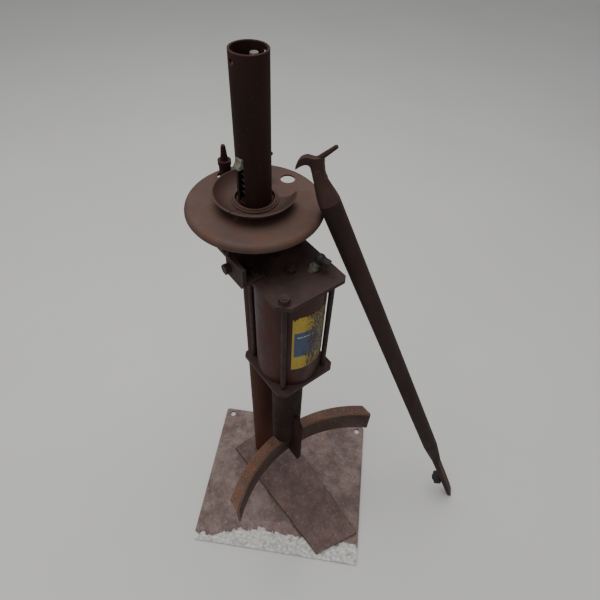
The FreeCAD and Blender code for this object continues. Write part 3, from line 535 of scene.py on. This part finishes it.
def circle_path(centre, radius, z, start=0.0, end=360.0, step=4.0):
    angles = [math.radians(start + step * i) for i in range(int((end - start) / step))]
    return [Vector((centre.x, centre.y, z)) + (MACHINE_X * math.cos(a) + MACHINE_Y * math.sin(a)) * radius
            for a in angles]


def channel_side(x):
    """Half the rest channel's width at a distance x from the post's axis."""
    back, front, half_back, half_front = -0.044, 0.312, 0.075, 0.058
    return half_back + (half_front - half_back) * (x - back) / (front - back)


def post_welds(materials):
    post_low, post_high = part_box("post_lower")
    radius = (post_high.x - post_low.x) / 2 + BEAD_INSET
    foot = circle_path(POST, radius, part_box("post_foot_weld")[0].z + BEAD_INSET)
    weld_piece("foot_weld_bead", [foot], FOOT_BEAD, True, materials["rust_channel"], "stand",
               "post_foot_weld")
    head = circle_path(POST, radius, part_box("head_weld")[1].z - BEAD_INSET)
    weld_piece("head_weld_bead", [head], HEAD_BEAD, True, materials["rust_post_lower"], "stand",
               "head_weld")


def shoe_welds(materials):
    ram_low, ram_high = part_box("ram_tube")
    radius = (ram_high.x - ram_low.x) / 2 + BEAD_INSET
    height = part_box("shoe_welds")[0].z + SHOE_BEAD_RISE
    arcs = []
    for side in (-1, 1):
        turn = side * SHOE_BEAD_TURN
        arcs.append(circle_path(RAM, radius, height, turn - SHOE_BEAD_REACH, turn + SHOE_BEAD_REACH))
    weld_piece("shoe_weld_beads", arcs, SHOE_BEAD, False, materials["rust_shoe_tops"], "ram",
               "shoe_welds")


def channel_seams(materials):
    seams = []
    for start in SEAM_STARTS:
        for side in (-1, 1):
            xs = [start + SEAM_STEP * i for i in range(SEAM_STEPS)]
            seams.append([on_machine(x, side * (channel_side(x) + SEAM_OUT), SEAM_HEIGHT) for x in xs])
    weld_piece("channel_weld_beads", seams, SEAM_BEAD, False, materials["rust_channel"], "stand",
               "channel_welds")


# ---- springs ------------------------------------------------------------------------------------
COIL_STEPS = 18
WIRE_SIDES = 8
LATCH_COIL = dict(radius=18.4 * MM, wire=1.9 * MM, turns=5)
RETURN_COIL = dict(radius=15.5 * MM, wire=2.2 * MM, turns=55)


def spring_piece(name, centre, coil, low, high, material, node):
    """An open coil from height low to height high; its ends are capped."""
    wire = coil["wire"]
    count = coil["turns"] * COIL_STEPS + 1
    verts = []
    for index in range(count):
        angle = 2 * math.pi * index / COIL_STEPS
        out = MACHINE_X * math.cos(angle) + MACHINE_Y * math.sin(angle)
        height = low + wire + (high - low - 2 * wire) * index / (count - 1)
        core = Vector((centre.x, centre.y, height)) + out * coil["radius"]
        for step in range(WIRE_SIDES):
            turn = 2 * math.pi * step / WIRE_SIDES
            verts.append(core + out * wire * math.cos(turn) + Vector((0, 0, wire * math.sin(turn))))
    mesh = new_mesh(name, verts, tube_faces(count, WIRE_SIDES))
    smooth_faces(mesh)
    tidy_mesh(mesh)
    piece = new_object(name, mesh, material)
    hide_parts(node)
    return piece


def latch_spring(material):
    low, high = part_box("latch_spring")
    latch = spring_piece("latch_coil", POST, LATCH_COIL, low.z, high.z, material, "latch_spring")
    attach(latch, "stand")
    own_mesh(latch)


def return_spring(material):
    low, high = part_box("return_spring")
    back = spring_piece("return_coil", RAM, RETURN_COIL, low.z, high.z, material,
                        "return_spring")
    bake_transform(back)


# ---- softened edges -----------------------------------------------------------------------------
SAME_POINT = 0.01 * MM
SHARP = math.radians(40)
SOFT_EDGES = {
    "bar_head": 1.4, "shoe_webs": 0.7, "shoe_flanges": 0.7, "shoe_gusset": 0.7, "latch_key": 0.5,
}


def soften_edges():
    for node, width in SOFT_EDGES.items():
        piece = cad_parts[node]
        weld = piece.modifiers.new("weld", "WELD")
        weld.merge_threshold = SAME_POINT
        bevel = piece.modifiers.new("bevel", "BEVEL")
        bevel.width = width * MM
        bevel.segments = 2
        bevel.limit_method = "ANGLE"
        bevel.angle_limit = SHARP
        bevel.harden_normals = True


# ---- stage --------------------------------------------------------------------------------------
FLOOR_REACH = 12.0
SKY_COLOUR = (0.97, 0.98, 1.0, 1.0)
SKY_STRENGTH = 0.38
OVERHEAD = dict(place=(-0.4, 0.5, 3.4), target=(0, 0, 0.4), size=3.2, power=92)
FRONT = dict(place=(-1.4, -2.4, 2.6), target=(0, 0, 0.6), size=2.2, power=14)


def studio():
    floor_paint = Paint("pale_floor")
    tone = floor_paint.mix(floor_paint.noise(0.4, 3, 0.5), linear(196, 195, 191), linear(206, 205, 201))
    floor_paint.finish(tone, 0.9)
    mesh = bpy.data.meshes.new("floor")
    corners = [(x * FLOOR_REACH, y * FLOOR_REACH, 0) for x, y in ((-1, -1), (1, -1), (1, 1), (-1, 1))]
    mesh.from_pydata(corners, [], [(0, 1, 2, 3)])
    mesh.materials.append(floor_paint.material)
    floor = bpy.data.objects.new("floor", mesh)
    bpy.context.scene.collection.objects.link(floor)

    world = bpy.data.worlds.new("soft_sky")
    world.use_nodes = True
    sky = world.node_tree.nodes["Background"]
    sky.inputs["Color"].default_value = SKY_COLOUR
    sky.inputs["Strength"].default_value = SKY_STRENGTH
    bpy.context.scene.world = world
    soft_light("overhead", **OVERHEAD)
    soft_light("front", **FRONT)


def soft_light(name, place, target, size, power):
    data = bpy.data.lights.new(name, "AREA")
    data.shape = "DISK"
    data.size = size
    data.energy = power
    light = bpy.data.objects.new(name, data)
    light.location = place
    light.rotation_mode = "QUATERNION"
    light.rotation_quaternion = (Vector(target) - Vector(place)).to_track_quat("-Z", "Y")
    bpy.context.scene.collection.objects.link(light)


def camera():
    data = bpy.data.cameras.new("camera")
    data.lens = CAMERA_LENS
    data.sensor_width = SENSOR
    data.clip_start, data.clip_end = 0.02, 60
    eye = bpy.data.objects.new("camera", data)
    back = -Vector(CAMERA_FORWARD).normalized()
    right = Vector(CAMERA_UP).cross(back).normalized()
    up = back.cross(right)
    turn = Matrix((right, up, back)).transposed().to_4x4()
    eye.matrix_world = Matrix.Translation(CAMERA_PLACE) @ turn
    bpy.context.scene.collection.objects.link(eye)
    bpy.context.scene.camera = eye


MATERIALS = paint_frame()
decal_piece(decal_material())
post_welds(MATERIALS)
shoe_welds(MATERIALS)
channel_seams(MATERIALS)
latch_spring(MATERIALS["spring_wire"])
return_spring(MATERIALS["spring_wire"])
soften_edges()
studio()
camera()
